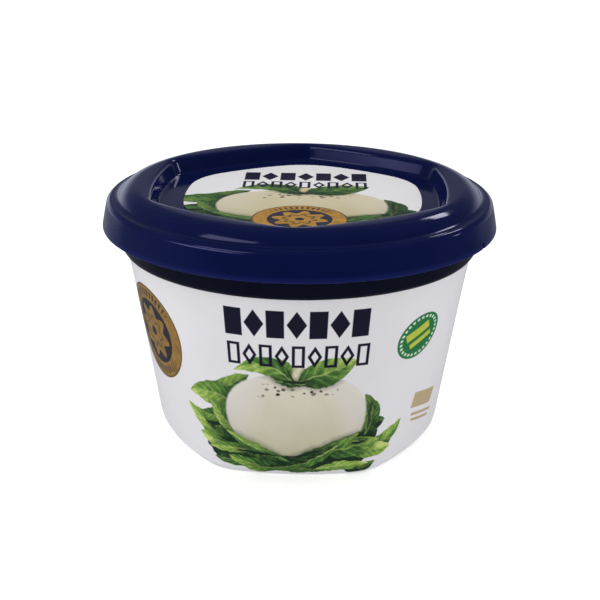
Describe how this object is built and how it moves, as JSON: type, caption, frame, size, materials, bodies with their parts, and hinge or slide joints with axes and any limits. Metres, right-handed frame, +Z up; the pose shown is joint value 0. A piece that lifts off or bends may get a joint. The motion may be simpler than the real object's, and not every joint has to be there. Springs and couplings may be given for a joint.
{
  "type": "shut burrata tub with push-on lid",
  "caption": "Shut plastic tub of fresh cheese: hexagonal base widening to a round rim, printed wrap label, push-on lid with a domed ring and a sunken hexagonal labelled panel.",
  "frame": {"origin": "middle of the base, on the surface that the tub stands on", "axes": "+Z up through the lid, -Y out of the front side of the hexagon, +X to the right of the front"},
  "size_m": [0.105, 0.105, 0.0689],
  "materials": {
    "tub_plastic": "near-black blue moulded plastic, satin",
    "wall_label_film": null,
    "lid_plastic": "navy blue moulded plastic, glossy with fine moulding texture",
    "lid_label_film": null
  },
  "bodies": {
    "root": {"tub": "tub_plastic", "wall_label": "wall_label_film", "lid": "lid_plastic", "lid_label": "lid_label_film"}
  },
  "joints": []
}
